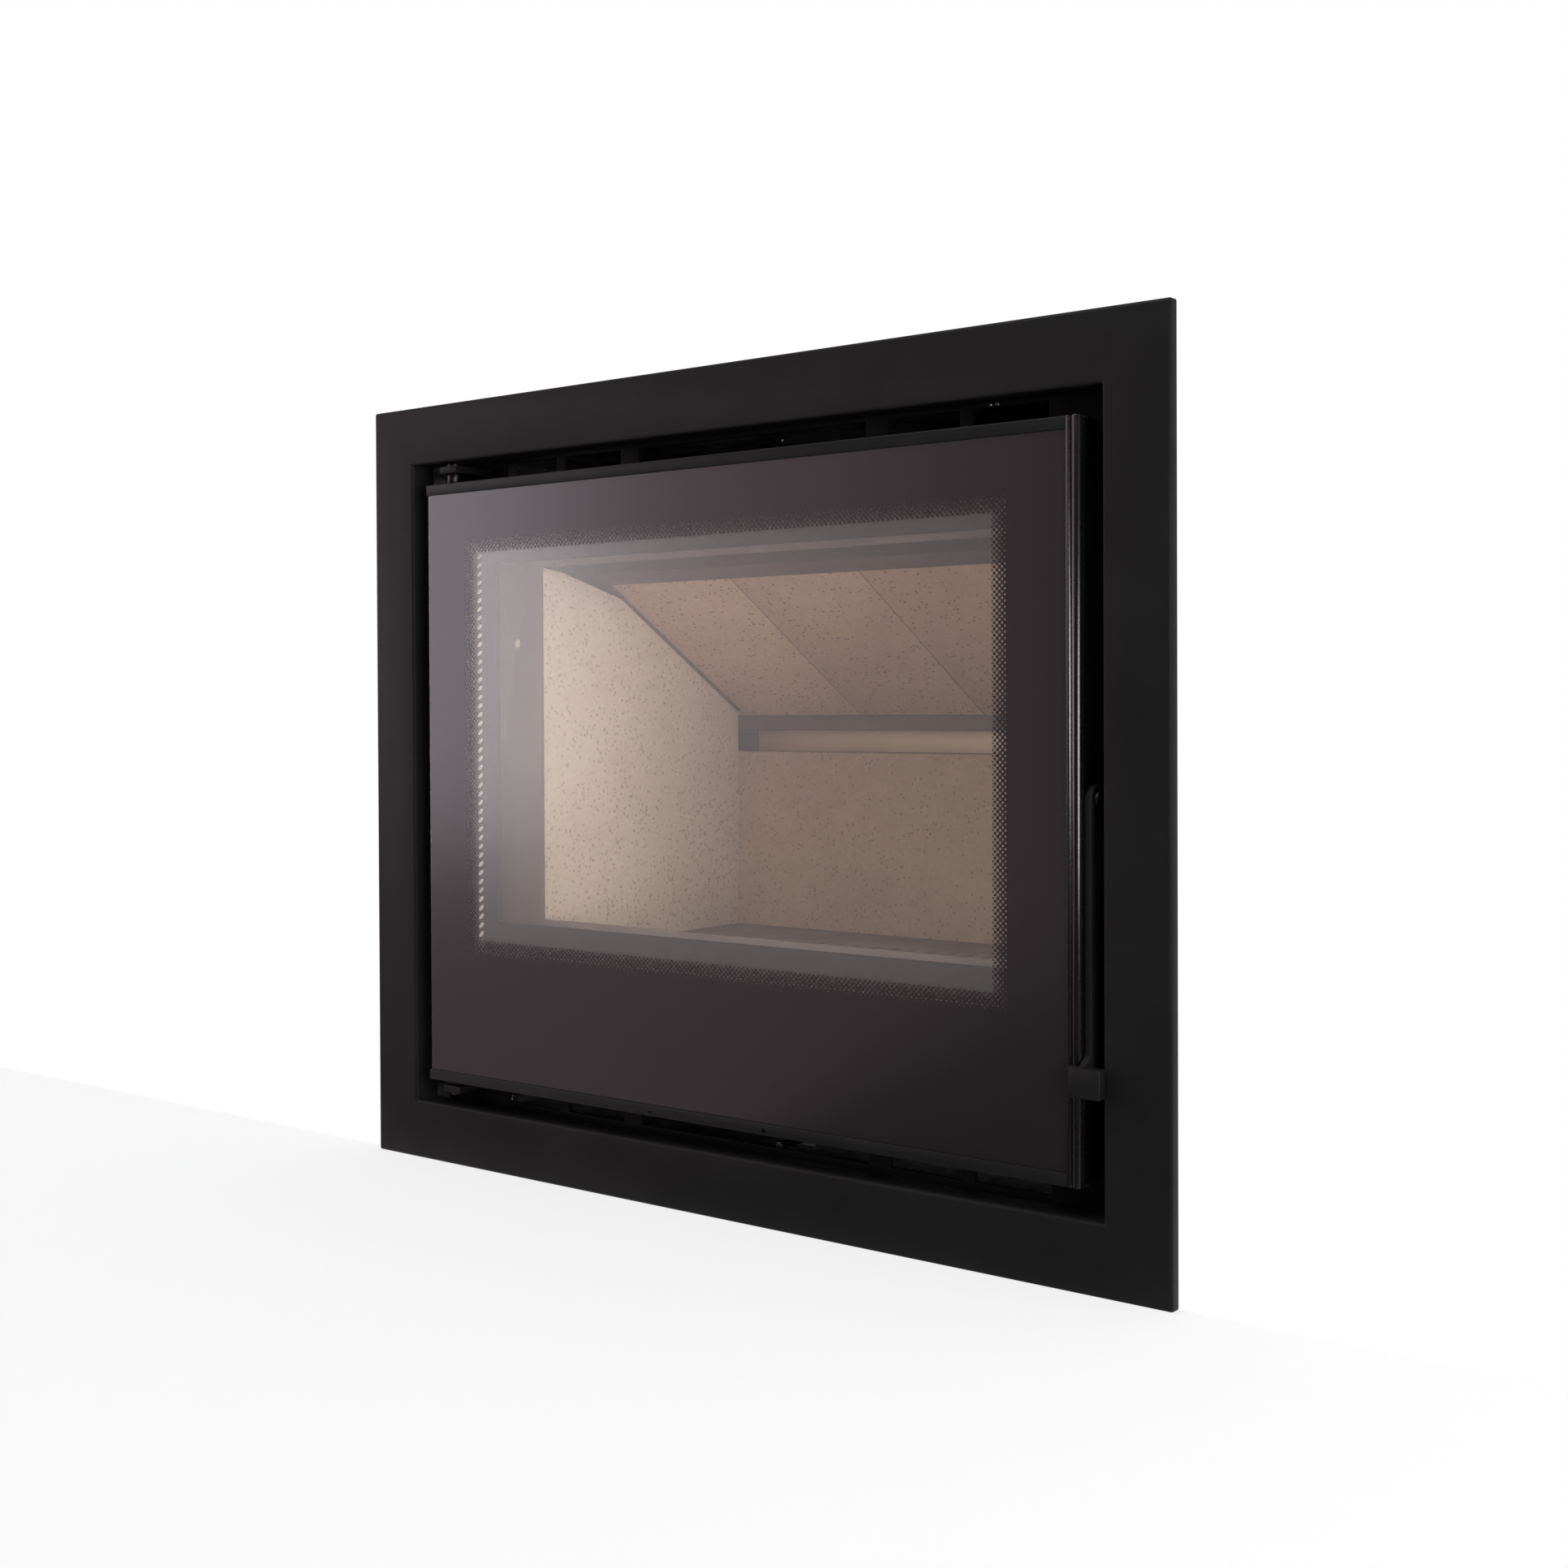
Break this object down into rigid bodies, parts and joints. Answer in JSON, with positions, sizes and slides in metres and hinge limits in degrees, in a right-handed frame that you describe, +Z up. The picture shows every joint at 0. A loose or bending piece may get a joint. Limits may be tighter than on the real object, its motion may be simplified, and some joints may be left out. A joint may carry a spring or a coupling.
{
  "type": "fireplace insert",
  "caption": "Built-in wood-burning fireplace insert: glazed black door in a flat surround, lined firebox, sloping baffle, steel casing and top flue collar.",
  "frame": {"origin": "middle of the bounding box's base: the surface that the feet stand on", "axes": "+X to the right of a person facing the door, +Y into the wall, +Z up"},
  "size_m": [0.78, 0.438, 0.69],
  "materials": {
    "stove_paint": "matt heat-proof black paint",
    "firebox_steel": "heat-proof grey-black paint",
    "galvanised_steel": "galvanised sheet",
    "cast_iron": "sand-cast, painted black",
    "vermiculite": "pressed vermiculite board",
    "stainless_steel": "plain stainless strip",
    "bolt_steel": "blackened steel",
    "ceramic_glass": "ceramic glass with a dark printed border",
    "glass_fibre": "braided glass-fibre seal"
  },
  "bodies": {
    "stove_body": {"trim_frame": "stove_paint", "trim_clip_left_lower": "galvanised_steel", "trim_clip_left_upper": "galvanised_steel", "trim_clip_right_lower": "galvanised_steel", "trim_clip_right_upper": "galvanised_steel", "casing_left": "galvanised_steel", "casing_right": "galvanised_steel", "casing_top": "galvanised_steel", "casing_base": "galvanised_steel", "casing_back": "galvanised_steel", "foot_front_left": "bolt_steel", "foot_front_right": "bolt_steel", "foot_back_left": "bolt_steel", "foot_back_right": "bolt_steel", "front_plate": "stove_paint", "firebox_front": "firebox_steel", "firebox_left": "firebox_steel", "firebox_right": "firebox_steel", "firebox_back": "firebox_steel", "firebox_roof": "firebox_steel", "firebox_floor": "firebox_steel", "board_left": "vermiculite", "board_right": "vermiculite", "board_rear": "vermiculite", "baffle_rail_left": "firebox_steel", "baffle_rail_right": "firebox_steel", "baffle_board_left": "vermiculite", "baffle_board_middle": "vermiculite", "baffle_board_right": "vermiculite", "baffle_front_rail": "firebox_steel", "baffle_rear_rail": "firebox_steel", "rear_air_strip": "stainless_steel", "flue_collar": "cast_iron", "hot_air_spigot_left": "galvanised_steel", "hot_air_spigot_right": "galvanised_steel", "hearth_plate": "cast_iron", "grate": "cast_iron", "ash_box": "firebox_steel", "ash_pan": "firebox_steel", "air_duct": "galvanised_steel", "hinge_bracket_upper": "stove_paint", "hinge_bracket_lower": "stove_paint", "hinge_pin_upper": "bolt_steel", "hinge_pin_lower": "bolt_steel", "hinge_bush_upper": "bolt_steel", "hinge_bush_lower": "bolt_steel", "latch_keeper": "bolt_steel"},
    "door": {"door_frame": "stove_paint", "door_glass": "ceramic_glass", "glass_gasket": "glass_fibre", "rope_gasket": "glass_fibre", "top_strip": "stove_paint", "bottom_strip": "stove_paint", "side_profile": "stove_paint", "pivot_bolt": "bolt_steel"},
    "latch": {"latch_lever": "stove_paint", "handle_tab": "stove_paint"},
    "air_control": {"air_slide": "galvanised_steel", "air_rod": "bolt_steel"}
  },
  "joints": [
    {"name": "door_hinge", "type": "hinge", "parent": "stove_body", "child": "door", "pos_m": [-0.302, -0.192, 0.33], "axis": [0, 0, -1], "range_deg": [0, 100]},
    {"name": "latch_pivot", "type": "hinge", "parent": "door", "child": "latch", "pos_m": [0.327, -0.191, 0.3284], "axis": [-1, 0, 0], "range_deg": [0, 25]},
    {"name": "air_slide_travel", "type": "slide", "parent": "stove_body", "child": "air_control", "axis": [-1, 0, 0], "range_m": [0, 0.115]}
  ]
}
